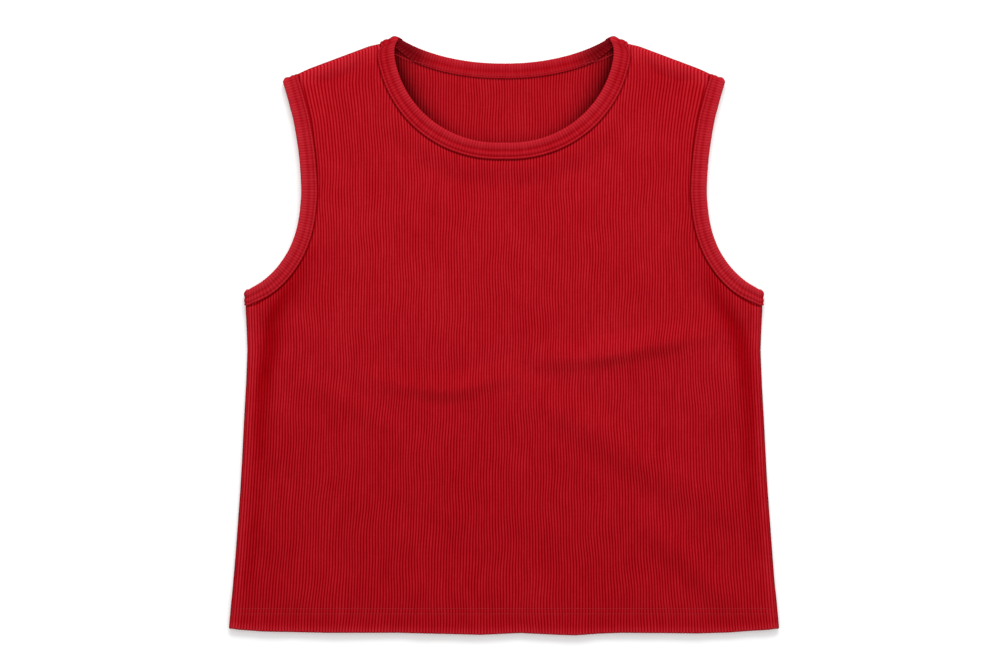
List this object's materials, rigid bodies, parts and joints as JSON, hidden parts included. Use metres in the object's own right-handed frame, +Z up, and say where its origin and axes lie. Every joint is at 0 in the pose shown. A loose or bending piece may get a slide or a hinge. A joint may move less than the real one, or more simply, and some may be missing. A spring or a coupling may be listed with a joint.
{
  "type": "tank top",
  "caption": "Sleeveless rib-knit top laid flat, with scoop neck, bound neck and armholes and a turned-up hem",
  "frame": {"origin": "centre of the garment's bounding box, on the surface that it lies on", "axes": "+Y towards the neck, +Z up out of the front of the top, X across it"},
  "size_m": [0.4668, 0.5081, 0.0083],
  "materials": {
    "rib_knit": "matte 1x1 rib-knit cotton, red",
    "binding_knit": "matte rib-knit binding, slightly lighter red"
  },
  "bodies": {
    "root": {"front_panel": "rib_knit", "back_panel": "rib_knit", "neck_binding": "binding_knit", "armhole_binding_left": "binding_knit", "armhole_binding_right": "binding_knit"}
  },
  "joints": []
}
